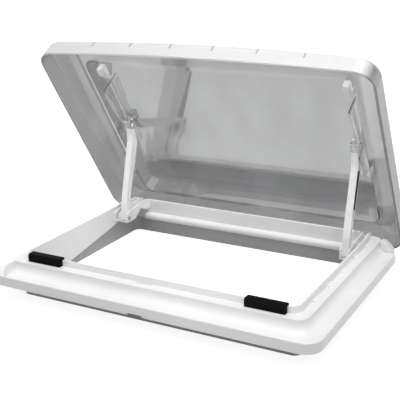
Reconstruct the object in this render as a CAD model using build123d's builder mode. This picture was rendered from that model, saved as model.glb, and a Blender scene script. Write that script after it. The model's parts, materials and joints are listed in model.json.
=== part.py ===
from build123d import *
import os
from math import atan2, cos, degrees, hypot, radians, sin, sqrt

# Roof window for a caravan, shown standing fully open.
# Millimetres. Z is up and the roof skin is the plane Z = 0.
# The origin is the centre of the cut-out in the roof. The hinge is on the +Y side.
os.makedirs("parts", exist_ok=True)

# Base frame
frame_x = 800.0
frame_y = 600.0
frame_wall = 3.0
skirt_high = 24.0
skirt_radius = 38.0
skirt_edge = 3.0
gutter_end = 32.0
rear_flange_high = 4.0
rear_radius = 85.0
ledge_inset = 38.0
ledge_top = 48.5
ledge_radius = 24.0
gutter_fillet = 20.0
lip_inset = 62.0
lip_top = 62.0
lip_wall = 4.0
lip_radius = 20.0
rear_corner_radius = 2.5
liner_wall = 3.0
liner_edge_z = -5.0
liner_slope = 0.161
rib_thick = 3.0
rib_pitch = 90.0
drain_wide = 36.0
drain_high = 4.0
ledge_slot_long = 57.0
ledge_slot_wide = 7.0
ledge_slot_deep = 2.2
ledge_slot_gap = 1.0
ledge_slot_first = 43.0
ledge_slot_pitch = 84.0
front_slot_long = 38.0
front_slot_x = -10.0
fin_thick = 2.5
fin_inset = 14.0
fin_round = 14.0

# Cut-out in the roof, and the collar that hangs in it
frame_overhang = 50.0
cutout_gap = 3.5
collar_wall = 3.3
collar_radius = 20.0
collar_drop = 37.0
collar_rise = 30.0
collar_flange_wide = 32.0
collar_flange_thick = 2.0
roof_bolt_inset = 14.0
roof_bolt_x = 400.0
roof_bolt_hole = 5.5
rear_wall_inset = 6.0

# Hinge
hinge_behind_wall = 19.8
hinge_z = 20.0
hinge_inset = 115.0
hinge_wide = 70.0
knuckle_radius = 4.6
knuckle_gap = 0.4
rod_radius = 2.0
pin_play = 0.06
leaf_thick = 2.0
leaf_high = 28.0
leaf_middle = 3.0
hinge_foot_front = 3.3
hinge_foot_deep = 28.0
hinge_foot_thick = 2.5
hinge_screw_behind = 20.2
hinge_screw_radius = 1.75

# Dome, in its own plane through the hinge axis, open by this angle
dome_open = 57.3
dome_overlap = 11.0
dome_front_overlap = 4.0
dome_bow = 14.0
dome_rear = 7.1
dome_rim = 13.0
dome_wall_top = 29.0
dome_radius = 45.0
dome_top = 95.0
dome_top_radius = 30.0
dome_slope_side = 88.0
dome_slope_rear = 25.0
dome_shoulder = 12.0
pane_thick = 4.0
edge_rib_pitch = 104.0
edge_rib_wide = 2.0
edge_rib_deep = 1.5
edge_rib_low = -5.0
edge_rib_top = 22.0
edge_rib_count = 6

# Inner pane
bead_overlap = 1.0
bead_front_inset = 3.8
bead_rear = 27.0
bead_z = 47.0
bead_radius = 24.0
tray_inset = 13.0
tray_z = 78.0
field_inset_front = 81.0
field_inset_rear = 41.0
field_inset_y = 30.0
field_z = 81.0
inner_thick = 3.0

# Arms: places along an arm are counted from the foot pin, and depths from its axis to the front
foot_before_wall = 109.0
foot_z = 36.0
arm_to_wall = 36.0
arm_wide = 17.0
arm_closed = 7.6
arm_foot_half = 7.5
arm_shin = 40.0
arm_shin_front = 8.0
arm_calf = 78.0
arm_calf_rear = -13.0
arm_thigh = 150.0
arm_thigh_rear = -27.0
arm_knee = 204.0
arm_knee_front = -11.0
arm_knee_rear = -33.0
arm_neck = 230.0
arm_neck_front = -8.0
arm_knee_round = 14.0
arm_top_half = 8.5
arm_wall = 2.5
arm_eye = 12.0
arm_head_long = 19.0
head_radius = 11.5
head_side = 0.5
tongue_long = 16.0
tongue_play = 0.2
strip_low = 105.0
strip_top = 193.0
strip_recess = 0.5
foot_pin_radius = 4.0
top_pin_radius = 3.0
pin_head = 2.0
foot_pin_head = 1.5
foot_pin_end = 1.5

# Guides on the inner pane
guide_gap = 1.5
guide_thick = 4.0
slot_play = 0.3
slot_steps = 12
slot_rear = 279.1
guide_z = 65.0
guide_tail = 97.0
guide_end = 16.0
guide_low_rear = 55.0
guide_low_front = 42.0
guide_round = 4.0
guide_foot_wide = 6.0
guide_foot_thick = 2.0
knob_radius = 9.5
knob_thick = 2.5
knob_gap = 0.4

# Catches and pads
catch_inset = 36.0
catch_long = 40.0
catch_wide = 14.0
catch_shift = 8.5
catch_step = 8.0
catch_low = 56.0
pad_long = 88.0
pad_corner_gap = 2.0
pad_over = 4.6
pad_skirt = 12.0
pad_hook_deep = 6.0
pad_hook_wide = 3.5

# Brackets and cross rail
cheek_thick = 3.0
cheek_gap = 0.5
bracket_front = 12.0
bracket_low = 24.5
bracket_floor = 30.0
bracket_toe_high = 49.0
bracket_instep = 13.0
bracket_instep_high = 53.0
bracket_heel = 19.0
bracket_heel_high = 64.0
bracket_rear_high = 59.0
bracket_arch = 60.0
bracket_arch_high = 46.0
bracket_rear_low = 36.0
bracket_plate = 4.0
bracket_round = 6.0
bracket_screw_front = 22.0
bracket_screw_front_z = 40.0
bracket_screw_rear = 20.0
bracket_screw_rear_z = 46.0
screw_radius = 2.5
screw_head_radius = 4.5
screw_head_high = 2.8
screw_reach = 4.0
rail_end_gap = 29.0
rail_top = 57.0
rail_face = 3.0
rail_edge = 1.0
rail_hook = 1.4
rail_bulge_deep = 13.0
rail_bulge_low = 1.5
rail_bulge_top = 21.0
rail_wall = 2.5

# Caps at the rear corners
cap_gap = 1.0
cap_wide = 29.0
cap_front_gap = 2.0
cap_deep = 22.0
cap_top = 49.0
cap_shoulder = 13.0
cap_shoulder_drop = 3.0
cap_edge_high = 30.0
cap_round = 9.0
cap_front_round = 2.5

# Sizes worked out from the ones above
frame_half_x = frame_x / 2
frame_half_y = frame_y / 2
cutout_x = frame_x - 2 * frame_overhang
cutout_y = frame_y - 2 * frame_overhang
collar_x = cutout_x / 2 - cutout_gap
collar_y = cutout_y / 2 - cutout_gap
rear_wall_y = cutout_y / 2 - rear_wall_inset
rear_inner_y = rear_wall_y - frame_wall
gutter_end_y = rear_wall_y - gutter_end
ledge_x = frame_half_x - ledge_inset
ledge_y = frame_half_y - ledge_inset
lip_x = frame_half_x - lip_inset
lip_y = frame_half_y - lip_inset
inner_x = lip_x - lip_wall
inner_y = lip_y - lip_wall
inner_radius = lip_radius - lip_wall
collar_flange_x = collar_x + collar_flange_wide
collar_flange_y = collar_y + collar_flange_wide
flange_rear_radius = rear_radius - (frame_half_x - collar_flange_x)
roof_bolt_y = cutout_y + 2 * roof_bolt_inset
rib_inner_x = collar_x + rib_thick / 3
rib_places = [rib_pitch * step for step in (-2, -1, 0, 1, 2)]
slot_count = int((gutter_end_y + lip_y) // ledge_slot_pitch)
slot_places = [ledge_slot_first - lip_y + ledge_slot_pitch * step for step in range(slot_count)]
slot_mid_z = ledge_top - ledge_slot_deep / 2
liner_start_y = (-collar_drop - liner_edge_z) / liner_slope
liner_end_z = liner_edge_z + liner_slope * rear_inner_y
fin_x = ledge_x - fin_inset
fin_mid = fin_round * sqrt(0.5)
hinge_x = frame_half_x - hinge_inset
hinge_y = rear_wall_y + hinge_behind_wall
hinge_foot_y = hinge_y - hinge_foot_front
hinge_screw_y = hinge_y + hinge_screw_behind
foot_mid_z = rear_flange_high + hinge_foot_thick / 2
middle_knuckle = hinge_wide / 3
end_knuckle = (hinge_wide - middle_knuckle) / 2 - knuckle_gap
end_knuckle_x = (hinge_wide - end_knuckle) / 2
sides = (("left", -1), ("right", 1))

# Dome's plane, the arm's length and the turn of an arm for each degree of the dome
dome_x_half = frame_half_x + dome_overlap
dome_front = hinge_y + frame_half_y + dome_front_overlap
tilt = radians(dome_open)
dome_plane = Plane(
    origin=(0, hinge_y, hinge_z), x_dir=(1, 0, 0), z_dir=(0, sin(tilt), cos(tilt))
)
foot_y = rear_inner_y - foot_before_wall
top_pin_y = hinge_y - slot_rear * cos(tilt) + guide_z * sin(tilt)
top_pin_z = hinge_z + slot_rear * sin(tilt) + guide_z * cos(tilt)
arm_length = hypot(top_pin_y - foot_y, top_pin_z - foot_z)
arm_dir = ((top_pin_y - foot_y) / arm_length, (top_pin_z - foot_z) / arm_length)
arm_open = degrees(atan2(arm_dir[1], -arm_dir[0]))
arm_ratio = (arm_open - arm_closed) / dome_open
arm_outer_x = inner_x - arm_to_wall + arm_wide
arm_inner_x = inner_x - arm_to_wall
guide_x = arm_outer_x + guide_gap
knob_x = guide_x + guide_thick + knob_gap
cheek_inner_x = arm_inner_x - cheek_gap - cheek_thick
cheek_outer_x = arm_outer_x + cheek_gap

# Bracket and rail seen from the side
rail_x = inner_x - rail_end_gap
rail_face_y = rear_inner_y - rail_face
rail_bulge_y = rail_face_y - rail_bulge_deep
rail_cap_rear = rear_wall_y + rail_hook
rail_round = (rail_bulge_top - rail_bulge_low) / 2
bracket_front_y = foot_y - bracket_front
bracket_outline = (
    (bracket_front_y, bracket_low),
    (bracket_front_y, bracket_toe_high),
    (bracket_front_y + bracket_instep, bracket_instep_high),
    (rail_face_y - bracket_heel, bracket_heel_high),
    (rail_face_y, bracket_rear_high),
    (rail_face_y, bracket_rear_low),
    (rail_face_y - bracket_heel, bracket_rear_low),
    (foot_y + bracket_arch, bracket_arch_high),
    (foot_y + bracket_floor, bracket_low),
)
screw_places = (
    (foot_y + bracket_screw_front, bracket_screw_front_z),
    (rail_face_y - bracket_screw_rear, bracket_screw_rear_z),
)
pad_outer_x = lip_x - lip_radius - pad_corner_gap
pad_inner_x = pad_outer_x - pad_long
catch_front = hinge_y + lip_y - bead_front_inset - catch_inset

# Cap at a rear corner seen from the front
cap_x = ledge_x + cap_gap
cap_front_y = gutter_end_y + cap_front_gap
cap_outline = (
    (cap_x, rear_flange_high),
    (cap_x, cap_top),
    (cap_x + cap_shoulder, cap_top - cap_shoulder_drop),
    (cap_x + cap_wide, cap_edge_high),
    (cap_x + cap_wide, rear_flange_high),
)

# Arm seen from the side
arm_outline = (
    (0, -arm_foot_half),
    (arm_calf, arm_calf_rear),
    (arm_thigh, arm_thigh_rear),
    (arm_knee, arm_knee_rear),
    (arm_length, -arm_top_half),
    (arm_length, arm_top_half),
    (arm_neck, arm_neck_front),
    (arm_knee, arm_knee_front),
    (arm_shin, arm_shin_front),
    (0, arm_foot_half),
)

# Outer pane's slopes, and the room inside them
slope_rise = dome_top - dome_wall_top
side_shift = pane_thick / sin(atan2(slope_rise, dome_slope_side))
rear_shift = pane_thick / sin(atan2(slope_rise, dome_slope_rear))
side_run = dome_slope_side / slope_rise
rear_run = dome_slope_rear / slope_rise
top_x = dome_x_half - dome_slope_side
top_front = dome_front - dome_slope_side
top_rear = dome_rear + dome_slope_rear
pane_lap = (side_shift - pane_thick) / side_run
void_x = dome_x_half - (slope_rise - pane_thick) * side_run - side_shift
void_front = dome_front - (slope_rise - pane_thick) * side_run - side_shift
void_rear = dome_rear + (slope_rise - pane_thick) * rear_run + rear_shift
edge_rib_places = [
    edge_rib_pitch * (step - (edge_rib_count - 1) / 2) for step in range(edge_rib_count)
]
bead_x = lip_x + bead_overlap
bead_front = hinge_y + lip_y - bead_front_inset
bead_edge = (bead_x + inner_thick, bead_front + inner_thick, bead_rear - inner_thick)
tray_edge = (bead_x - tray_inset, bead_front - tray_inset, bead_rear + tray_inset)
tray_edge_out = (tray_edge[0] + inner_thick, tray_edge[1] + inner_thick, tray_edge[2] - inner_thick)


def plan(half_x, front, rear, front_radius, rear_radius_):
    """Outline seen from above, from the front edge back to the rear one, with round corners."""
    with BuildSketch(mode=Mode.PRIVATE) as outline:
        with Locations((0, (front + rear) / 2)):
            Rectangle(2 * half_x, rear - front)
        fillet(outline.vertices().group_by(Axis.Y)[0], front_radius)
        fillet(outline.vertices().group_by(Axis.Y)[-1], rear_radius_)
    return outline.sketch


def across(x):
    """Plane square to X at the given place, its own X along +Y and its own Y along +Z."""
    return Plane(origin=(x, 0, 0), x_dir=(0, 1, 0), z_dir=(1, 0, 0))


def dome_across(x):
    """The same in the dome's own plane: drawn with dome Y and dome Z."""
    return Plane(
        origin=(dome_plane.origin + dome_plane.x_dir * x),
        x_dir=dome_plane.y_dir,
        z_dir=dome_plane.x_dir,
    )


def pin_place(turn):
    """Dome Y and dome Z of the top pin when the dome is open by turn degrees."""
    arm_angle = radians(arm_closed + arm_ratio * turn)
    from_hinge_y = foot_y - arm_length * cos(arm_angle) - hinge_y
    from_hinge_z = foot_z + arm_length * sin(arm_angle) - hinge_z
    angle = radians(turn)
    return (
        from_hinge_y * cos(angle) - from_hinge_z * sin(angle),
        from_hinge_y * sin(angle) + from_hinge_z * cos(angle),
    )


def finish(piece, name):
    """Label a finished piece and write it."""
    piece.label = name
    export_step(piece, "parts/" + name + ".step")

# Base frame: skirt, gutter, upstand, ledge and lip as one hollow moulding
with BuildPart() as base_frame:
    with BuildSketch(Plane.XY):
        add(plan(frame_half_x, -frame_half_y, frame_half_y, skirt_radius, rear_radius))
    extrude(amount=rear_flange_high)
    with BuildSketch(Plane.XY):
        with Locations((0, (gutter_end_y - frame_half_y) / 2)):
            Rectangle(frame_x, gutter_end_y + frame_half_y)
    extrude(amount=skirt_high)
    fillet(base_frame.edges().filter_by(Axis.Z).group_by(Axis.Y)[0], skirt_radius)
    with BuildSketch(Plane.XY):
        add(plan(ledge_x, -ledge_y, rear_wall_y, ledge_radius, ledge_radius))
    extrude(amount=ledge_top)
    gutter_line = (
        base_frame.edges()
        .filter_by_position(Axis.Z, skirt_high, skirt_high)
        .filter_by_position(Axis.X, -ledge_x, ledge_x)
        .filter_by_position(Axis.Y, -ledge_y, gutter_end_y - skirt_edge)
    )
    fillet(gutter_line, gutter_fillet)
    skirt_line = (
        base_frame.edges()
        .filter_by_position(Axis.Z, skirt_high, skirt_high)
        .filter_by_position(Axis.Y, -frame_half_y, gutter_end_y - skirt_edge)
    )
    fillet(skirt_line, skirt_edge)
    # Lip round three sides, standing on the ledge
    with BuildSketch(Plane.XY.offset(ledge_top)):
        add(plan(lip_x, -lip_y, gutter_end_y, lip_radius, skirt_edge))
    extrude(amount=lip_top - ledge_top)
    # Hollow underside of the skirt and of the upstand
    with BuildSketch(Plane.XY):
        add(
            plan(
                frame_half_x - frame_wall,
                frame_wall - frame_half_y,
                gutter_end_y - frame_wall,
                skirt_radius - frame_wall,
                skirt_edge,
            )
        )
    extrude(amount=skirt_high - frame_wall, mode=Mode.SUBTRACT)
    with BuildSketch(Plane.XY):
        add(
            plan(
                ledge_x - frame_wall,
                frame_wall - ledge_y,
                rear_inner_y,
                ledge_radius - frame_wall,
                ledge_radius - frame_wall,
            )
        )
    extrude(amount=ledge_top - frame_wall, mode=Mode.SUBTRACT)
    # Seat for the collar's flange
    with BuildSketch(Plane.XY):
        add(plan(collar_flange_x, -collar_flange_y, collar_flange_y, collar_radius, flange_rear_radius))
    extrude(amount=collar_flange_thick, mode=Mode.SUBTRACT)
    # Ribs from the upstand out to the skirt, standing on the collar's flange
    for side in (-1, 1):
        for y in rib_places:
            with BuildSketch(Plane.XZ.offset(-y - rib_thick / 2)):
                with BuildLine():
                    Polyline(
                        (side * rib_inner_x, collar_flange_thick),
                        (side * (frame_half_x - frame_wall / 2), collar_flange_thick),
                        (side * (frame_half_x - frame_wall / 2), skirt_high - frame_wall / 2),
                        (side * (ledge_x - frame_wall / 2), skirt_high - frame_wall / 2),
                        (side * (ledge_x - frame_wall / 2), ledge_top - frame_wall / 2),
                        (side * rib_inner_x, ledge_top - frame_wall / 2),
                        close=True,
                    )
                make_face()
            extrude(amount=rib_thick)
    # Way through
    with BuildSketch(Plane.XY):
        add(plan(inner_x, -inner_y, rear_inner_y, inner_radius, rear_corner_radius))
    extrude(amount=lip_top, mode=Mode.SUBTRACT)
    # Inner wall, which hangs into the roof
    with BuildSketch(Plane.XY.offset(ledge_top - frame_wall / 2)):
        add(
            plan(
                inner_x + liner_wall,
                -inner_y - liner_wall,
                rear_wall_y - frame_wall / 2,
                inner_radius + liner_wall,
                rear_corner_radius,
            )
        )
        add(
            plan(inner_x, -inner_y, rear_inner_y, inner_radius, rear_corner_radius),
            mode=Mode.SUBTRACT,
        )
    extrude(amount=-(ledge_top + 2 * collar_drop))
    # Its lower edge runs up towards the hinge
    with BuildSketch(across(-rib_inner_x)):
        with BuildLine():
            Polyline(
                (-frame_half_y, -collar_drop),
                (liner_start_y, -collar_drop),
                (rear_inner_y, liner_end_z),
                (rear_inner_y, collar_flange_thick),
                (rear_wall_y, collar_flange_thick),
                (rear_wall_y, -4 * collar_drop),
                (-frame_half_y, -4 * collar_drop),
                close=True,
            )
        make_face()
    extrude(amount=2 * rib_inner_x, mode=Mode.SUBTRACT)
    # Drain in the front edge, and shallow recesses in the ledge beside the lip
    with Locations((0, -frame_half_y, drain_high / 2)):
        Box(drain_wide, 3 * frame_wall, drain_high, mode=Mode.SUBTRACT)
    with Locations((front_slot_x, -lip_y - ledge_slot_wide / 2 - ledge_slot_gap, slot_mid_z)):
        Box(front_slot_long, ledge_slot_wide, ledge_slot_deep, mode=Mode.SUBTRACT)
    for side in (-1, 1):
        with Locations((side * (lip_x + ledge_slot_wide / 2 + ledge_slot_gap), 0, slot_mid_z)):
            with Locations([(0, y, 0) for y in slot_places]):
                Box(ledge_slot_wide, ledge_slot_long, ledge_slot_deep, mode=Mode.SUBTRACT)
    # Web that closes the end of the front gutter
    with BuildSketch(across(-fin_x)):
        with BuildLine():
            Polyline(
                (-ledge_y + frame_wall / 2, skirt_high - frame_wall / 2),
                (-ledge_y + frame_wall / 2, ledge_top),
                (-frame_half_y + fin_round + skirt_edge, ledge_top),
            )
            ThreePointArc(
                (-frame_half_y + fin_round + skirt_edge, ledge_top),
                (
                    -frame_half_y + skirt_edge + fin_round - fin_mid,
                    ledge_top - fin_round + fin_mid,
                ),
                (-frame_half_y + skirt_edge, ledge_top - fin_round),
            )
            Polyline(
                (-frame_half_y + skirt_edge, ledge_top - fin_round),
                (-frame_half_y + skirt_edge, skirt_high - frame_wall / 2),
                (-ledge_y + frame_wall / 2, skirt_high - frame_wall / 2),
            )
        make_face()
    extrude(amount=fin_thick)
    # Holes for the bracket screws
    for side in (-1, 1):
        for y, z in screw_places:
            with Locations(Plane(origin=(side * inner_x, y, z), z_dir=(1, 0, 0))):
                Cylinder(screw_radius + pin_play, 4 * liner_wall, mode=Mode.SUBTRACT)
finish(base_frame.part, "base_frame")

# Collar: a wall through the roof and a flange under the base frame
with BuildPart() as roof_collar:
    with BuildSketch(Plane.XY):
        add(plan(collar_flange_x, -collar_flange_y, collar_flange_y, collar_radius, flange_rear_radius))
    extrude(amount=collar_flange_thick)
    with BuildSketch(Plane.XY.offset(-collar_drop)):
        add(plan(collar_x, -collar_y, collar_y, collar_radius, collar_radius))
    extrude(amount=collar_drop + collar_rise)
    with BuildSketch(Plane.XY.offset(-collar_drop)):
        add(
            plan(
                collar_x - collar_wall,
                collar_wall - collar_y,
                collar_y - collar_wall,
                collar_radius - collar_wall,
                collar_radius - collar_wall,
            )
        )
    extrude(amount=collar_drop + collar_rise, mode=Mode.SUBTRACT)
    # The rear wall stops at the flange, where the base frame's own wall stands
    with Locations((0, frame_half_y, collar_flange_thick + collar_rise)):
        Box(frame_x, 2 * (frame_half_y - gutter_end_y), 2 * collar_rise, mode=Mode.SUBTRACT)
    with Locations((0, 0, collar_flange_thick / 2)):
        with GridLocations(roof_bolt_x, roof_bolt_y, 2, 2):
            Cylinder(roof_bolt_hole / 2, 2 * collar_flange_thick, mode=Mode.SUBTRACT)
finish(roof_collar.part, "roof_collar")

# Cross rail: a hollow moulding hooked over the rear wall, round below
with BuildPart() as cross_rail:
    with BuildSketch(across(-rail_x)):
        with BuildLine():
            Polyline(
                (rear_inner_y, rail_bulge_low),
                (rear_inner_y, ledge_top),
                (rail_cap_rear, ledge_top),
                (rail_cap_rear, rail_top - rail_wall),
                (rail_cap_rear - rail_wall, rail_top),
                (rail_face_y + rail_edge, rail_top),
                (rail_face_y, rail_top - rail_edge),
                (rail_face_y, rail_bulge_top),
                (rail_bulge_y + rail_round, rail_bulge_top),
            )
            ThreePointArc(
                (rail_bulge_y + rail_round, rail_bulge_top),
                (rail_bulge_y, (rail_bulge_low + rail_bulge_top) / 2),
                (rail_bulge_y + rail_round, rail_bulge_low),
            )
            Line((rail_bulge_y + rail_round, rail_bulge_low), (rear_inner_y, rail_bulge_low))
        make_face()
        with Locations(((rail_bulge_y + rail_round), (rail_bulge_low + rail_bulge_top) / 2)):
            Circle(rail_round - rail_wall, mode=Mode.SUBTRACT)
    extrude(amount=2 * rail_x)
finish(cross_rail.part, "cross_rail")


def arm_plane(side):
    """Plane of one arm: its own X runs up the arm from the foot pin, its own Y to the front."""
    start = arm_inner_x if side > 0 else -arm_outer_x
    return Plane(origin=(start, foot_y, foot_z), x_dir=(0, arm_dir[0], arm_dir[1]), z_dir=(1, 0, 0))


def arm_stretch(start, end, inset):
    """Side view of the arm between two places along it, drawn in from its edges."""
    with BuildSketch(mode=Mode.PRIVATE) as stretch:
        offset(arm_side.sketch, amount=-inset, kind=Kind.INTERSECTION)
        with Locations(((start + end) / 2, 0)):
            Rectangle(end - start, arm_length, mode=Mode.INTERSECT)
    return stretch.sketch


# Arm's whole side view, from the foot pin's eye to the top pin's
with BuildSketch() as arm_side:
    with BuildLine():
        Polyline(*arm_outline, close=True)
    make_face()
    bends = arm_side.vertices().filter_by_position(Axis.X, arm_calf / 2, arm_neck)
    fillet(bends, arm_knee_round)
    Circle(arm_foot_half)
    with Locations((arm_length, 0)):
        Circle(arm_top_half)
arm_end = arm_length - arm_head_long

# Guide's slot and outline in the dome's plane
slot_line = [pin_place(dome_open * step / slot_steps) for step in range(slot_steps, -1, -1)]
guide_front = -min(y for y, z in slot_line) + guide_end
guide_rear = slot_rear - guide_tail
guide_outline = (
    (-guide_rear, tray_z),
    (-guide_rear, guide_low_rear),
    (-slot_rear, guide_low_rear),
    (guide_end - guide_front, guide_low_front),
    (-guide_front, guide_low_front),
    (-guide_front, tray_z),
)

for name, side in sides:
    # Bracket: a tray with two cheeks for the arm's foot and a plate on the frame's inner wall
    with BuildPart() as bracket:
        with BuildSketch(across(side * cheek_inner_x)) as bracket_face:
            with BuildLine():
                Polyline(*bracket_outline, close=True)
            make_face()
        extrude(amount=side * (inner_x - cheek_inner_x))
        corners = bracket.edges().filter_by(Axis.X)
        front_bottom = corners.group_by(Axis.Y)[0].sort_by(Axis.Z)[0]
        fillet(front_bottom, bracket_round)
        # Arm's slot, then the space between the outer cheek and the plate, both above the floor
        for start, end in (
            (cheek_inner_x + cheek_thick, cheek_outer_x),
            (cheek_outer_x + cheek_thick, inner_x - bracket_plate),
        ):
            with BuildSketch(across(side * start)):
                with BuildLine():
                    Polyline(*[(y, z + cheek_thick) for y, z in bracket_outline], close=True)
                make_face()
            extrude(amount=side * (end - start), mode=Mode.SUBTRACT)
        with Locations(Plane(origin=(side * cheek_inner_x, foot_y, foot_z), z_dir=(1, 0, 0))):
            Cylinder(foot_pin_radius + pin_play, 4 * arm_wide, mode=Mode.SUBTRACT)
        for y, z in screw_places:
            with Locations(Plane(origin=(side * inner_x, y, z), z_dir=(1, 0, 0))):
                Cylinder(screw_radius + pin_play, 4 * bracket_plate, mode=Mode.SUBTRACT)
    finish(bracket.part, "bracket_" + name)

    # Foot pin, with a head on the inner side
    with BuildPart() as foot_pin:
        with BuildSketch(Plane(origin=(side * cheek_inner_x, foot_y, foot_z), z_dir=(side, 0, 0))):
            Circle(foot_pin_radius)
        extrude(amount=cheek_outer_x + cheek_thick - cheek_inner_x + foot_pin_end)
        with BuildSketch(Plane(origin=(side * cheek_inner_x, foot_y, foot_z), z_dir=(-side, 0, 0))):
            Circle(foot_pin_radius + foot_pin_head)
        extrude(amount=foot_pin_head)
        chamfer(foot_pin.edges().group_by(Axis.X)[0 if side > 0 else -1], foot_pin_head / 4)
    finish(foot_pin.part, "foot_pin_" + name)

    # Arm: a channel open to the outside that bows to the rear
    web_face = arm_wall if side > 0 else 0
    with BuildPart() as arm:
        with BuildSketch(arm_plane(side)):
            add(arm_side.sketch)
            with Locations((arm_end, 0)):
                Rectangle(arm_length, arm_length, align=(Align.MIN, Align.CENTER), mode=Mode.SUBTRACT)
        extrude(amount=arm_wide)
        with BuildSketch(arm_plane(side).offset(web_face)):
            add(arm_stretch(arm_eye, arm_length, arm_wall))
        extrude(amount=arm_wide - arm_wall, mode=Mode.SUBTRACT)
        with BuildSketch(arm_plane(side)):
            Circle(foot_pin_radius + pin_play)
        extrude(amount=arm_wide, mode=Mode.SUBTRACT)
    finish(arm.part, "arm_" + name)

    # Dark strip set in the arm's channel
    strip_start = web_face if side > 0 else strip_recess
    with BuildPart() as strip:
        with BuildSketch(arm_plane(side).offset(strip_start)):
            add(arm_stretch(strip_low, strip_top, arm_wall))
        extrude(amount=arm_wide - arm_wall - strip_recess)
    finish(strip.part, "arm_strip_" + name)

    # Clear head: an eye for the top pin, with a tongue in the end of the arm's channel
    with BuildPart() as arm_head:
        with BuildSketch(arm_plane(side).offset(head_side)):
            add(arm_stretch(arm_end, arm_length, 0))
            with Locations((arm_length, 0)):
                Circle(head_radius)
        extrude(amount=arm_wide - 2 * head_side)
        with BuildSketch(arm_plane(side).offset(web_face + (0 if side > 0 else head_side))):
            add(arm_stretch(arm_end - tongue_long, arm_length - head_radius, arm_wall + tongue_play))
        extrude(amount=arm_wide - arm_wall - head_side)
        with BuildSketch(arm_plane(side)):
            with Locations((arm_length, 0)):
                Circle(top_pin_radius + pin_play)
        extrude(amount=arm_wide, mode=Mode.SUBTRACT)
    finish(arm_head.part, "arm_head_" + name)

    # Top pin, which slides in the guide, and the clear knob that keeps it there
    with BuildPart() as top_pin:
        with BuildSketch(Plane(origin=(side * arm_inner_x, top_pin_y, top_pin_z), z_dir=(side, 0, 0))):
            Circle(top_pin_radius)
        extrude(amount=knob_x + knob_thick - arm_inner_x)
        with BuildSketch(Plane(origin=(side * arm_inner_x, top_pin_y, top_pin_z), z_dir=(-side, 0, 0))):
            Circle(top_pin_radius + pin_head)
        extrude(amount=pin_head)
    finish(top_pin.part, "top_pin_" + name)
    with BuildPart() as knob:
        with BuildSketch(Plane(origin=(side * knob_x, top_pin_y, top_pin_z), z_dir=(side, 0, 0))):
            Circle(knob_radius)
            Circle(top_pin_radius + pin_play, mode=Mode.SUBTRACT)
        extrude(amount=knob_thick)
    finish(knob.part, "knob_" + name)

    # Guide: a clear plate under the inner pane, its slot shaped by the way of the top pin
    with BuildPart() as guide:
        with BuildSketch(dome_across(side * guide_x)) as guide_face:
            with BuildLine():
                Polyline(*guide_outline, close=True)
            make_face()
            fillet(guide_face.vertices().group_by(Axis.X)[0].sort_by(Axis.Y)[0], guide_round)
            fillet(guide_face.vertices().group_by(Axis.X)[-1].sort_by(Axis.Y)[0], guide_round)
        extrude(amount=side * guide_thick)
        with BuildSketch(dome_across(side * guide_x)):
            with Locations((-(guide_front + guide_rear) / 2, tray_z - guide_foot_thick / 2)):
                Rectangle(guide_front - guide_rear, guide_foot_thick)
        extrude(amount=side * guide_foot_wide)
        with BuildSketch(dome_across(side * guide_x)):
            with BuildLine():
                Spline(*slot_line)
            trace(line_width=2 * (top_pin_radius + slot_play))
            with Locations(slot_line[0], slot_line[-1]):
                Circle(top_pin_radius + slot_play)
        extrude(amount=side * guide_thick, mode=Mode.SUBTRACT)
    finish(guide.part, "guide_" + name)

    # Catch block under the inner pane near its front edge
    with BuildPart() as catch:
        with BuildSketch(dome_across(side * (guide_x - catch_shift))):
            with BuildLine():
                Polyline(
                    (-catch_front, tray_z),
                    (catch_long - catch_front, tray_z),
                    (catch_long - catch_front, tray_z - catch_step),
                    (catch_long / 2 - catch_front, catch_low),
                    (-catch_front, catch_low),
                    close=True,
                )
            make_face()
        extrude(amount=side * catch_wide)
    finish(catch.part, "catch_block_" + name)

    # Rubber pad wrapped over the lip
    with BuildPart() as pad:
        with BuildSketch(across(side * pad_inner_x)):
            with BuildLine():
                Polyline(
                    (-lip_y, ledge_top),
                    (-lip_y - pad_skirt, ledge_top),
                    (-lip_y - pad_skirt, lip_top + pad_over - pad_hook_wide),
                    (-lip_y - pad_skirt + pad_hook_wide, lip_top + pad_over),
                    (-inner_y + pad_hook_wide, lip_top + pad_over),
                    (-inner_y + pad_hook_wide, lip_top - pad_hook_deep),
                    (-inner_y, lip_top - pad_hook_deep),
                    (-inner_y, lip_top),
                    (-lip_y, lip_top),
                    close=True,
                )
            make_face()
        extrude(amount=side * (pad_outer_x - pad_inner_x))
    finish(pad.part, "pad_" + name)

    # Cap on the rear flange beside the upstand, its top sloping to the outside
    with BuildPart() as cap:
        with BuildSketch(Plane.XZ.offset(-cap_front_y)):
            with BuildLine():
                Polyline(*[(side * x, z) for x, z in cap_outline], close=True)
            make_face()
        extrude(amount=-cap_deep)
        slopes = cap.edges().filter_by(Axis.Y).group_by(Axis.Z)
        fillet(slopes[-2], cap_round)
        fillet(slopes[-3], cap_round)
        front_line = cap.faces().sort_by(Axis.Y)[0].edges()
        fillet(front_line.filter_by_position(Axis.Z, cap_edge_high, cap_top), cap_front_round)
    finish(cap.part, "corner_cap_" + name)

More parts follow.
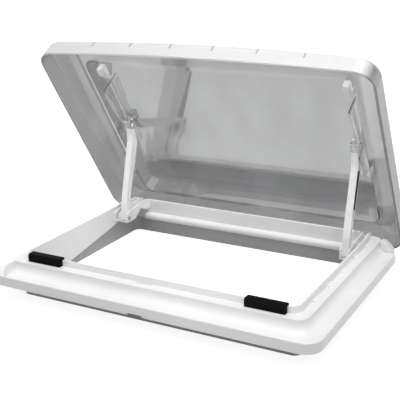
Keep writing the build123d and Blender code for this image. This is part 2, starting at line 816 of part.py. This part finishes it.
    # Hinge: a foot on the rear flange with two knuckles
    with BuildPart() as hinge_foot:
        with Locations((side * hinge_x, hinge_foot_y + hinge_foot_deep / 2, foot_mid_z)):
            Box(hinge_wide, hinge_foot_deep, hinge_foot_thick)
        for end in (-end_knuckle_x, end_knuckle_x):
            with Locations((side * hinge_x + end, hinge_y, (hinge_z + rear_flange_high) / 2)):
                Box(end_knuckle, 2 * leaf_thick, hinge_z - rear_flange_high)
            with Locations(Plane(origin=(side * hinge_x + end, hinge_y, hinge_z), z_dir=(1, 0, 0))):
                Cylinder(knuckle_radius, end_knuckle)
        with Locations(Plane(origin=(side * hinge_x, hinge_y, hinge_z), z_dir=(1, 0, 0))):
            Cylinder(rod_radius + pin_play, hinge_wide, mode=Mode.SUBTRACT)
        with Locations((side * hinge_x, hinge_screw_y, foot_mid_z)):
            with GridLocations(hinge_wide / 2, 0, 2, 1):
                Cylinder(hinge_screw_radius + pin_play, 2 * hinge_foot_thick, mode=Mode.SUBTRACT)
    finish(hinge_foot.part, "hinge_foot_" + name)

    # Leaf on the dome's rear wall with the middle knuckle
    with BuildPart() as leaf:
        with BuildSketch(dome_across(side * hinge_x - hinge_wide / 2)):
            with Locations((-dome_rear + leaf_thick / 2, leaf_middle)):
                Rectangle(leaf_thick, leaf_high)
        extrude(amount=hinge_wide)
        with BuildSketch(dome_across(side * hinge_x - middle_knuckle / 2)):
            with Locations((-dome_rear / 2, 0)):
                Rectangle(dome_rear, 2 * leaf_thick)
            Circle(knuckle_radius)
            Circle(rod_radius + pin_play, mode=Mode.SUBTRACT)
        extrude(amount=middle_knuckle)
    finish(leaf.part, "hinge_leaf_" + name)

    with BuildPart() as rod:
        with Locations(Plane(origin=(side * hinge_x, hinge_y, hinge_z), z_dir=(1, 0, 0))):
            Cylinder(rod_radius, hinge_wide)
    finish(rod.part, "hinge_rod_" + name)

# Screws that hold the brackets to the frame's inner wall
with BuildPart() as bracket_screws:
    for name, side in sides:
        for y, z in screw_places:
            with BuildSketch(Plane(origin=(side * (inner_x - bracket_plate), y, z), z_dir=(side, 0, 0))):
                Circle(screw_radius)
            extrude(amount=bracket_plate + screw_reach)
            with BuildSketch(Plane(origin=(side * (inner_x - bracket_plate), y, z), z_dir=(-side, 0, 0))):
                Circle(screw_head_radius)
            extrude(amount=screw_head_high, taper=20)
finish(bracket_screws.part, "bracket_screws")

# Screws that hold the hinge feet down
with BuildPart() as hinge_screws:
    for name, side in sides:
        for shift in (-hinge_wide / 4, hinge_wide / 4):
            place = (side * hinge_x + shift, hinge_screw_y)
            with BuildSketch(Plane(origin=(*place, rear_flange_high + hinge_foot_thick))):
                Circle(hinge_screw_radius)
            extrude(amount=-hinge_foot_thick)
            with BuildSketch(Plane(origin=(*place, rear_flange_high + hinge_foot_thick))):
                Circle(2 * hinge_screw_radius)
            extrude(amount=hinge_screw_radius, taper=20)
finish(hinge_screws.part, "hinge_screws")


def pane_step(half_x, front, rear, height, radius, bow=0.0):
    """One level of a pane: an outline in the dome's own plane, its front edge bowed outwards."""
    with BuildSketch(dome_plane.offset(height)) as level:
        with BuildLine():
            Polyline((half_x, -front), (half_x, -rear), (-half_x, -rear), (-half_x, -front))
            if bow:
                ThreePointArc((-half_x, -front), (0, -front - bow), (half_x, -front))
            else:
                Line((-half_x, -front), (half_x, -front))
        make_face()
        fillet(level.vertices(), radius)
    return level.sketch


def at_height(builder, height):
    """Edges of a pane that lie level at this height in the dome's own plane."""
    return [
        edge
        for edge in builder.edges()
        if all(
            abs(dome_plane.to_local_coords(edge @ share).Z - height) < pin_play
            for share in (0, 0.5, 1)
        )
    ]


def field_step(height):
    """The inner pane's flat field, narrower at the free edge than at the hinge."""
    with BuildSketch(dome_plane.offset(height)) as level:
        with BuildLine():
            Polyline(
                (tray_edge[0] - field_inset_front, field_inset_y - tray_edge[1]),
                (tray_edge[0] - field_inset_rear, -tray_edge[2] - field_inset_y),
                (field_inset_rear - tray_edge[0], -tray_edge[2] - field_inset_y),
                (field_inset_front - tray_edge[0], field_inset_y - tray_edge[1]),
                close=True,
            )
        make_face()
        fillet(level.vertices(), bead_radius)
    return level.sketch


room_edge = (dome_x_half - pane_thick, dome_front - pane_thick, dome_rear + pane_thick)
room_radius = dome_radius - pane_thick
room_shoulder = dome_wall_top - pane_lap
with BuildPart() as pane_void:
    add(pane_step(*room_edge, -dome_rim, room_radius, dome_bow))
    extrude(amount=dome_rim + room_shoulder, dir=dome_plane.z_dir)
    loft(
        [
            pane_step(*room_edge, room_shoulder, room_radius, dome_bow),
            pane_step(void_x, void_front, void_rear, dome_top - pane_thick, dome_top_radius, dome_bow),
        ],
        ruled=True,
    )
    fillet(at_height(pane_void, room_shoulder), dome_shoulder - pane_thick)

# Outer pane: an upright edge with a round shoulder, then slopes up to a flat top
with BuildPart() as outer_pane:
    add(pane_step(dome_x_half, dome_front, dome_rear, -dome_rim, dome_radius, dome_bow))
    extrude(amount=dome_rim + dome_wall_top, dir=dome_plane.z_dir)
    loft(
        [
            pane_step(dome_x_half, dome_front, dome_rear, dome_wall_top, dome_radius, dome_bow),
            pane_step(top_x, top_front, top_rear, dome_top, dome_top_radius, dome_bow),
        ],
        ruled=True,
    )
    fillet(at_height(outer_pane, dome_wall_top), dome_shoulder)
    add(pane_void.part, mode=Mode.SUBTRACT)
    # Small upright ribs inside the front and rear edges
    with BuildSketch(dome_plane.offset(edge_rib_low)):
        for x in edge_rib_places:
            bow_here = dome_bow * (1 - (x / dome_x_half) ** 2)
            for wall in (dome_front - pane_thick + bow_here, dome_rear + pane_thick):
                with Locations((x, -wall)):
                    Rectangle(edge_rib_wide, 2 * edge_rib_deep)
    extrude(amount=edge_rib_top - edge_rib_low)
finish(outer_pane.part, "outer_pane")

# Inner pane: a tray with a flat border, bonded to the slopes of the outer pane
with BuildPart() as inner_pane:
    add(pane_step(dome_x_half, dome_front, dome_rear, bead_z, dome_radius, dome_bow))
    extrude(amount=inner_thick, dir=dome_plane.z_dir)
    add(pane_void.part, mode=Mode.INTERSECT)
    loft(
        [
            pane_step(*bead_edge, bead_z, bead_radius + inner_thick),
            pane_step(*tray_edge_out, tray_z + inner_thick, bead_radius + inner_thick),
        ],
        ruled=True,
    )
    loft(
        [
            pane_step(*tray_edge_out, tray_z + inner_thick, bead_radius + inner_thick),
            field_step(field_z + inner_thick),
        ],
        ruled=True,
    )
    loft(
        [
            pane_step(bead_x, bead_front, bead_rear, bead_z, bead_radius),
            pane_step(*tray_edge, tray_z, bead_radius),
        ],
        ruled=True,
        mode=Mode.SUBTRACT,
    )
    loft(
        [
            pane_step(*tray_edge, tray_z, bead_radius),
            field_step(field_z),
        ],
        ruled=True,
        mode=Mode.SUBTRACT,
    )
finish(inner_pane.part, "inner_pane")
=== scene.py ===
import json
import math

import bpy
from mathutils import Matrix, Vector


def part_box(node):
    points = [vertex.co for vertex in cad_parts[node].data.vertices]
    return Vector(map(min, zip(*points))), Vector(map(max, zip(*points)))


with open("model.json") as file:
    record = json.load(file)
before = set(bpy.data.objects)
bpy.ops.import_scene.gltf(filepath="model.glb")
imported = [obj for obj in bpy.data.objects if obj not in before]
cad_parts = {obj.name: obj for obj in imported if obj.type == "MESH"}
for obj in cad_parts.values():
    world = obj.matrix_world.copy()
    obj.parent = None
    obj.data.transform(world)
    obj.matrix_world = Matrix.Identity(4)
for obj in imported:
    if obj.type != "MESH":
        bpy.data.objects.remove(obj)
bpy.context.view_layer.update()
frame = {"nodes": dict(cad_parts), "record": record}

# View of the photograph: where the camera stands and looks, its lens and sensor in millimetres
CAMERA_PLACE = Vector((0.8775, -1.5924, 0.7511))
CAMERA_TURN = math.radians(28.98)
CAMERA_RISE = math.radians(17.85)
CAMERA_ROLL = math.radians(-1.21)
LENS = 74.3
SENSOR = 36.0
CLIP_END = 50.0

# Dome: its hinge line, and how far it stands open in the photograph
HINGE_Y = 0.2638
HINGE_Z = 0.020
OPEN = math.radians(57.3)
# Directions in the open dome: across it, from the hinge to the free edge, and up through the pane
ACROSS = (1.0, 0.0, 0.0)
TO_FREE_EDGE = (0.0, -math.cos(OPEN), math.sin(OPEN))
UPWARD = (0.0, math.sin(OPEN), math.cos(OPEN))
# Level of the hinge line, measured along the last of these
HINGE_LEVEL = HINGE_Y * math.sin(OPEN) + HINGE_Z * math.cos(OPEN)

# Painted highlight on the rim of each pane, a pale band put in place of the light the rim catches:
# the reach at which it starts and is full, towards the free edge and across, from the part's
# origin, and how strong it gets there
OUTER_RIM_HIGHLIGHT = {
    "front": (0.420, 0.442), "front_highlight": 0.92,
    "side": (0.392, 0.408), "side_highlight": 0.45,
}
INNER_RIM_HIGHLIGHT = {
    "front": (0.404, 0.410), "front_highlight": 0.85,
    "side": (0.352, 0.358), "side_highlight": 0.65,
}
# Colour of the painted highlight on the rims
PAINTED_HIGHLIGHT_TONE = 0.66
# Above this level the rim turns over into the pane and the painted highlight is weaker by this
# amount
SHOULDER_LEVEL = HINGE_LEVEL + 0.048
SHOULDER_HIGHLIGHT_LOSS = 0.62
LEVEL_FADE = 0.004

# Dark ticks of painted shade across the painted highlight on the outer pane's rim, one at each
# small rib of the free edge:
# their levels, the half width at which a tick starts and is full, and how far across the last one
# may stand
RIB_PITCH = 0.104
RIB_SHADE_TONE = 0.34
TICK_LOW = HINGE_LEVEL + 0.010
TICK_HIGH = HINGE_LEVEL + 0.038
TICK_HALF_WIDTH = (0.0026, 0.0016)
TICK_REACH = (0.30, 0.301)

# Where a noise's colour ramp starts and ends
TONE_STOPS = (0.3, 0.7)
GLOSS_STOPS = (0.2, 0.8)
DUST_STOPS = (0.35, 0.65)
HAZE_STOPS = (0.3, 0.8)

# Moulded plastic: scales of its cloudy tone and its gloss, per metre, and its fine grain
CLOUD_SCALE = 9.0
GLOSS_SCALE = 60.0
GLOSS_RANGE = 0.06
GRAIN_STRENGTH = 0.12
GRAIN_DEPTH = 0.0002

# Clear acrylic: wiped smears, haze and slow waves, its index and that of its polished coat
SMEAR_SCALE = 13.0
SMEAR_STRETCH = (1.0, 0.45, 0.45)
SMEAR_TURN = (0.0, -0.6, 0.0)
HAZE_SCALE = 14.0
WAVE_SCALE = 11.0
WAVE_DEPTH = 0.004
ACRYLIC_INDEX = 1.49
COAT_INDEX = 1.65
COAT_ROUGHNESS = 0.02

# Metal: fine lines drawn out along the piece
LINE_SCALE = 60.0
LINE_DETAIL = 6.0
LINE_STRETCH = (1.0, 30.0, 30.0)
LINE_RANGE = 0.08

# Floor just below the frame's collar, and the light of the surroundings
FLOOR_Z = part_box("roof_collar")[0][2] - 0.001
FLOOR_REACH = 12.0
FLOOR_TONE = 0.42
FLOOR_GLOW = 0.86
WORLD_LIGHT = 0.52
# Lamps: name, place, target, side in metres, power in watts and spread in degrees
LAMPS = (
    ("key", (-1.2, -2.2, 2.6), (0, 0, 0.1), 2.0, 6.0, 180.0),
    ("fill", (1.4, -1.9, 2.4), (0, 0, 0.1), 1.6, 9.0, 180.0),
    ("wall", (0.95, -0.10, 0.80), (-0.40, -0.02, 0.02), 0.3, 0.12, 24.0),
    ("front", (1.0, -2.6, 0.25), (0, 0.05, 0.55), 0.4, 0.7, 22.0),
    ("top", (0.4, -0.25, 3.0), (0, 0, 0), 1.8, 47.0, 180.0),
)


def grey(value):
    """A neutral colour."""
    return (value, value, value, 1.0)


def emptied_tree(owner, output):
    """The emptied node tree of a material or a world, and the surface of its output."""
    owner.use_nodes = True
    tree = owner.node_tree
    tree.nodes.clear()
    return tree, tree.nodes.new(output).inputs["Surface"]


def new_material(name):
    """A material, its node tree and its Principled shader."""
    material = bpy.data.materials.new(name)
    tree, surface = emptied_tree(material, "ShaderNodeOutputMaterial")
    shader = tree.nodes.new("ShaderNodeBsdfPrincipled")
    tree.links.new(shader.outputs["BSDF"], surface)
    return material, tree, shader


def feed(tree, socket, value):
    """Links a socket to another one, or sets it to a plain value."""
    if isinstance(value, bpy.types.NodeSocket):
        tree.links.new(value, socket)
    else:
        socket.default_value = value


def math_node(tree, operation, first, second=0.0):
    """The result of an operation on two terms, each a socket or a number."""
    node = tree.nodes.new("ShaderNodeMath")
    node.operation = operation
    feed(tree, node.inputs[0], first)
    feed(tree, node.inputs[1], second)
    return node.outputs["Value"]


def distance_along(tree, place, direction):
    """How far a place lies along a direction."""
    node = tree.nodes.new("ShaderNodeVectorMath")
    node.operation = "DOT_PRODUCT"
    tree.links.new(place, node.inputs[0])
    node.inputs[1].default_value = direction
    return node.outputs["Value"]


def rising(tree, source, start, end, top=1.0):
    """Nought below the start, and the top value beyond the end."""
    node = tree.nodes.new("ShaderNodeMapRange")
    node.inputs["From Min"].default_value = start
    node.inputs["From Max"].default_value = end
    node.inputs["To Max"].default_value = top
    tree.links.new(source, node.inputs["Value"])
    return node.outputs["Result"]


def mixed_colour(tree, factor, first, second, blend_type="MIX"):
    """Two colours mixed by a factor, each of the three a socket or a plain value."""
    node = tree.nodes.new("ShaderNodeMix")
    node.data_type = "RGBA"
    node.blend_type = blend_type
    feed(tree, node.inputs["Factor"], factor)
    feed(tree, node.inputs["A"], first)
    feed(tree, node.inputs["B"], second)
    return node.outputs["Result"]


def object_noise(tree, scale, detail=4.0, stretch=(1.0, 1.0, 1.0), turn=(0.0, 0.0, 0.0)):
    """Noise laid over the object's own place in metres."""
    place = tree.nodes.new("ShaderNodeTexCoord")
    mapping = tree.nodes.new("ShaderNodeMapping")
    mapping.inputs["Scale"].default_value = stretch
    mapping.inputs["Rotation"].default_value = turn
    noise = tree.nodes.new("ShaderNodeTexNoise")
    noise.inputs["Scale"].default_value = scale
    noise.inputs["Detail"].default_value = detail
    tree.links.new(place.outputs["Object"], mapping.inputs["Vector"])
    tree.links.new(mapping.outputs["Vector"], noise.inputs["Vector"])
    return noise.outputs["Fac"]


def ramp(tree, source, stops, first, second):
    """The first colour up to the first stop, and the second one from the last stop on."""
    node = tree.nodes.new("ShaderNodeValToRGB")
    for element, place, colour in zip(node.color_ramp.elements, stops, (first, second)):
        element.position = place
        element.color = colour
    tree.links.new(source, node.inputs["Fac"])
    return node.outputs["Color"]


def add_bump(tree, shader, source, strength, depth):
    """Waves or grain in the surface, of a depth in metres."""
    node = tree.nodes.new("ShaderNodeBump")
    node.inputs["Strength"].default_value = strength
    node.inputs["Distance"].default_value = depth
    tree.links.new(source, node.inputs["Height"])
    tree.links.new(node.outputs["Normal"], shader.inputs["Normal"])


def moulded_plastic(name, dark, light, rough, grain=900.0, specular=0.5):
    """Moulded plastic: faint clouding in the colour, a fine grain and uneven gloss."""
    material, tree, shader = new_material(name)
    cloud = object_noise(tree, CLOUD_SCALE)
    tree.links.new(ramp(tree, cloud, TONE_STOPS, dark, light), shader.inputs["Base Color"])
    gloss = object_noise(tree, GLOSS_SCALE)
    sheen = ramp(tree, gloss, GLOSS_STOPS, grey(rough - GLOSS_RANGE), grey(rough + GLOSS_RANGE))
    tree.links.new(sheen, shader.inputs["Roughness"])
    add_bump(tree, shader, object_noise(tree, grain, detail=2.0), GRAIN_STRENGTH, GRAIN_DEPTH)
    shader.inputs["Specular IOR Level"].default_value = specular
    return material


def rib_shade_mask(tree, width, level):
    """One on the ticks of painted shade at the ribs, which start half a pitch from the middle, and
    nought elsewhere.
    """
    half_pitch = RIB_PITCH / 2.0
    outer_half, inner_half = TICK_HALF_WIDTH
    between = math_node(tree, "PINGPONG", width, half_pitch)
    mask = rising(tree, between, half_pitch - outer_half, half_pitch - inner_half)
    mask = math_node(tree, "SUBTRACT", mask, rising(tree, width, *TICK_REACH))
    low = rising(tree, level, TICK_LOW, TICK_LOW + LEVEL_FADE)
    mask = math_node(tree, "MULTIPLY", mask, low)
    high = rising(tree, level, TICK_HIGH - LEVEL_FADE, TICK_HIGH)
    return math_node(tree, "SUBTRACT", mask, high)


def add_painted_rim_highlight(tree, shader, tint, rim_highlight, rib_shade_ticks):
    """Paints a highlight on the rim: pale at the free edge and less so at the sides, and clear
    elsewhere.
    """
    place = tree.nodes.new("ShaderNodeTexCoord").outputs["Object"]
    reach = distance_along(tree, place, TO_FREE_EDGE)
    level = distance_along(tree, place, UPWARD)
    width = math_node(tree, "ABSOLUTE", distance_along(tree, place, ACROSS))
    front = rising(tree, reach, *rim_highlight["front"], rim_highlight["front_highlight"])
    shoulder = rising(tree, level, SHOULDER_LEVEL - LEVEL_FADE, SHOULDER_LEVEL, SHOULDER_HIGHLIGHT_LOSS)
    front = math_node(tree, "SUBTRACT", front, shoulder)
    side = rising(tree, width, *rim_highlight["side"], rim_highlight["side_highlight"])
    highlight = math_node(tree, "MAXIMUM", front, side)
    highlight_colour = grey(PAINTED_HIGHLIGHT_TONE)
    # Painted shade: dark ticks across the painted highlight, one at each rib
    if rib_shade_ticks:
        mask = rib_shade_mask(tree, width, level)
        highlight_colour = mixed_colour(tree, mask, highlight_colour, grey(RIB_SHADE_TONE))
    # Painted highlight: the pale colour goes into the base colour, and less light passes there
    tree.links.new(mixed_colour(tree, highlight, tint, highlight_colour), shader.inputs["Base Color"])
    tree.links.new(math_node(tree, "SUBTRACT", 1.0, highlight), shader.inputs["Transmission Weight"])


def clear_acrylic(name, dark, light, rough, grain=650.0, wave=0.05, smears=0.05,
                  clearness=1.0, rim_highlight=None, rib_shade_ticks=False, coat=0.0):
    """Clear acrylic: light passes and bends, with a faint tint, fine dust and slow waves."""
    material, tree, shader = new_material(name)
    dust = ramp(tree, object_noise(tree, grain, detail=3.0), DUST_STOPS, dark, light)
    smear = object_noise(tree, SMEAR_SCALE, stretch=SMEAR_STRETCH, turn=SMEAR_TURN)
    wiped = ramp(tree, smear, DUST_STOPS, grey(1.0 - smears), grey(1.0))
    tint = mixed_colour(tree, 1.0, dust, wiped, "MULTIPLY")
    if rim_highlight:
        add_painted_rim_highlight(tree, shader, tint, rim_highlight, rib_shade_ticks)
    else:
        tree.links.new(tint, shader.inputs["Base Color"])
        shader.inputs["Transmission Weight"].default_value = clearness
    haze = ramp(tree, object_noise(tree, HAZE_SCALE), HAZE_STOPS, grey(rough), grey(rough * 2.0))
    tree.links.new(haze, shader.inputs["Roughness"])
    add_bump(tree, shader, object_noise(tree, WAVE_SCALE, detail=1.0), wave, WAVE_DEPTH)
    shader.inputs["IOR"].default_value = ACRYLIC_INDEX
    shader.inputs["Coat Weight"].default_value = coat
    shader.inputs["Coat IOR"].default_value = COAT_INDEX
    shader.inputs["Coat Roughness"].default_value = COAT_ROUGHNESS
    return material


def metal(name, dark, light, rough):
    """Bare metal with fine drawn lines in its tone and its gloss."""
    material, tree, shader = new_material(name)
    lines = object_noise(tree, LINE_SCALE, LINE_DETAIL, LINE_STRETCH)
    tree.links.new(ramp(tree, lines, TONE_STOPS, dark, light), shader.inputs["Base Color"])
    gloss = ramp(tree, lines, GLOSS_STOPS, grey(rough - LINE_RANGE), grey(rough + LINE_RANGE))
    tree.links.new(gloss, shader.inputs["Roughness"])
    shader.inputs["Metallic"].default_value = 1.0
    return material


steel = metal("pin_steel", (0.45, 0.45, 0.46, 1), (0.66, 0.66, 0.67, 1), rough=0.3)

# Finish of each of the record's material slots
FINISHES = {
    "white_plastic": moulded_plastic(
        "white_plastic", (0.84, 0.84, 0.835, 1), (0.89, 0.89, 0.885, 1), rough=0.32),
    "grey_plastic": moulded_plastic("grey_plastic", grey(0.40), grey(0.47), rough=0.5),
    "pad_rubber": moulded_plastic(
        "pad_rubber", grey(0.002), grey(0.006), rough=0.6, grain=1400.0, specular=0.05),
    "black_plastic": moulded_plastic(
        "black_plastic", grey(0.012), grey(0.022), rough=0.5, grain=1100.0, specular=0.3),
    "tinted_pane": clear_acrylic(
        "tinted_pane", (0.18, 0.182, 0.185, 1), (0.31, 0.312, 0.315, 1), rough=0.02,
        grain=420.0, smears=0.16, rim_highlight=OUTER_RIM_HIGHLIGHT, rib_shade_ticks=True),
    "inner_pane": clear_acrylic(
        "inner_pane", (0.84, 0.845, 0.85, 1), (0.90, 0.905, 0.91, 1), rough=0.02,
        rim_highlight=INNER_RIM_HIGHLIGHT, coat=1.0),
    "clear_plastic": clear_acrylic(
        "clear_plastic", grey(0.86), grey(0.94), rough=0.05, grain=900.0, wave=0.2),
    "catch_plastic": clear_acrylic(
        "catch_plastic", grey(0.93), grey(0.98), rough=0.08, grain=900.0, wave=0.2, clearness=0.62),
    "pin_steel": steel,
    "screw_steel": steel,
    "hinge_metal": metal("hinge_metal", (0.55, 0.55, 0.56, 1), (0.72, 0.72, 0.73, 1), rough=0.4),
}
# Lighter copy of the white plastic for the arms and brackets: painted light, for the extra light
# they catch
painted_light_arm_plastic = moulded_plastic(
    "white_plastic_painted_lighter", (0.92, 0.92, 0.915, 1), (0.95, 0.95, 0.945, 1), rough=0.30)
guide_plastic = clear_acrylic(
    "guide_plastic", grey(0.92), grey(0.97), rough=0.04, grain=900.0, wave=0.1, clearness=0.92)
# Nodes with a finish of their own: the arms and brackets take a lighter copy of the white plastic,
# as painted light
NODE_FINISHES = {
    "arm_left": painted_light_arm_plastic,
    "arm_right": painted_light_arm_plastic,
    "bracket_left": painted_light_arm_plastic,
    "bracket_right": painted_light_arm_plastic,
    "guide_left": guide_plastic,
    "guide_right": guide_plastic,
}
SLOTS = {entry["node"]: entry["material_slot"] for entry in frame["record"]["subparts"]}


def dress_nodes():
    """Gives each piece its finish, and lets the lamps' light through the clear panes."""
    for node, thing in frame["nodes"].items():
        material = NODE_FINISHES.get(node) or FINISHES[SLOTS[node]]
        for slot in thing.material_slots:
            slot.material = material
        if not thing.material_slots:
            thing.data.materials.append(material)
        thing.visible_shadow = node not in ("outer_pane", "inner_pane")


def add_camera():
    """The camera of the photograph, rolled about its own axis."""
    data = bpy.data.cameras.new("camera")
    data.lens = LENS
    data.sensor_width = SENSOR
    data.clip_end = CLIP_END
    camera = bpy.data.objects.new("camera", data)
    back = Vector((
        math.sin(CAMERA_TURN) * math.cos(CAMERA_RISE),
        -math.cos(CAMERA_TURN) * math.cos(CAMERA_RISE),
        math.sin(CAMERA_RISE),
    ))
    right = Vector((math.cos(CAMERA_TURN), math.sin(CAMERA_TURN), 0.0))
    up = back.cross(right)
    rolled_right = right * math.cos(CAMERA_ROLL) + up * math.sin(CAMERA_ROLL)
    rolled_up = up * math.cos(CAMERA_ROLL) - right * math.sin(CAMERA_ROLL)
    matrix = Matrix((rolled_right, rolled_up, back)).transposed().to_4x4()
    matrix.translation = CAMERA_PLACE
    camera.matrix_world = matrix
    bpy.context.scene.collection.objects.link(camera)
    bpy.context.scene.camera = camera


def seen_rays(tree):
    """One for rays of the camera, of gloss and of clear plastic, and nought for the others."""
    path = tree.nodes.new("ShaderNodeLightPath")
    straight = math_node(
        tree, "MAXIMUM", path.outputs["Is Camera Ray"], path.outputs["Is Transmission Ray"])
    return math_node(tree, "MAXIMUM", straight, path.outputs["Is Glossy Ray"])


def mixed_shader(tree, lighting, seen):
    """One shader for rays that carry light, and another for rays by which it is seen."""
    mix = tree.nodes.new("ShaderNodeMixShader")
    tree.links.new(seen_rays(tree), mix.inputs["Fac"])
    tree.links.new(lighting, mix.inputs[1])
    tree.links.new(seen, mix.inputs[2])
    return mix.outputs["Shader"]


def add_floor():
    """A wide plain sheet that is seen as white, but for the shadow on it."""
    mesh = bpy.data.meshes.new("floor")
    quadrants = ((-1, -1), (1, -1), (1, 1), (-1, 1))
    corners = [(x * FLOOR_REACH, y * FLOOR_REACH, FLOOR_Z) for x, y in quadrants]
    mesh.from_pydata(corners, [], [(0, 1, 2, 3)])
    floor = bpy.data.objects.new("floor", mesh)
    bpy.context.scene.collection.objects.link(floor)
    material = bpy.data.materials.new("floor")
    tree, surface = emptied_tree(material, "ShaderNodeOutputMaterial")
    matt = tree.nodes.new("ShaderNodeBsdfDiffuse")
    matt.inputs["Color"].default_value = grey(FLOOR_TONE)
    glow = tree.nodes.new("ShaderNodeEmission")
    glow.inputs["Color"].default_value = grey(1.0)
    glow.inputs["Strength"].default_value = FLOOR_GLOW
    both = tree.nodes.new("ShaderNodeAddShader")
    tree.links.new(matt.outputs["BSDF"], both.inputs[0])
    tree.links.new(glow.outputs["Emission"], both.inputs[1])
    tree.links.new(mixed_shader(tree, matt.outputs["BSDF"], both.outputs["Shader"]), surface)
    mesh.materials.append(material)


def background(tree, strength):
    """A white background of a given strength."""
    node = tree.nodes.new("ShaderNodeBackground")
    node.inputs["Color"].default_value = grey(1.0)
    node.inputs["Strength"].default_value = strength
    return node.outputs["Background"]


def add_world():
    """A world that is seen as white and is dimmer as a light."""
    world = bpy.data.worlds.new("world")
    bpy.context.scene.world = world
    tree, surface = emptied_tree(world, "ShaderNodeOutputWorld")
    lighting = background(tree, WORLD_LIGHT)
    seen = background(tree, 1.0)
    tree.links.new(mixed_shader(tree, lighting, seen), surface)


def add_lamp(name, place, target, size, power, spread):
    """A square lamp that shines on its target."""
    data = bpy.data.lights.new(name, "AREA")
    data.energy = power
    data.size = size
    data.spread = math.radians(spread)
    lamp = bpy.data.objects.new(name, data)
    lamp.location = place
    direction = Vector(target) - Vector(place)
    lamp.rotation_euler = direction.to_track_quat("-Z", "Y").to_euler()
    bpy.context.scene.collection.objects.link(lamp)


dress_nodes()
add_camera()
add_floor()
add_world()
for lamp in LAMPS:
    add_lamp(*lamp)

bpy.context.scene.view_settings.view_transform = "Standard"
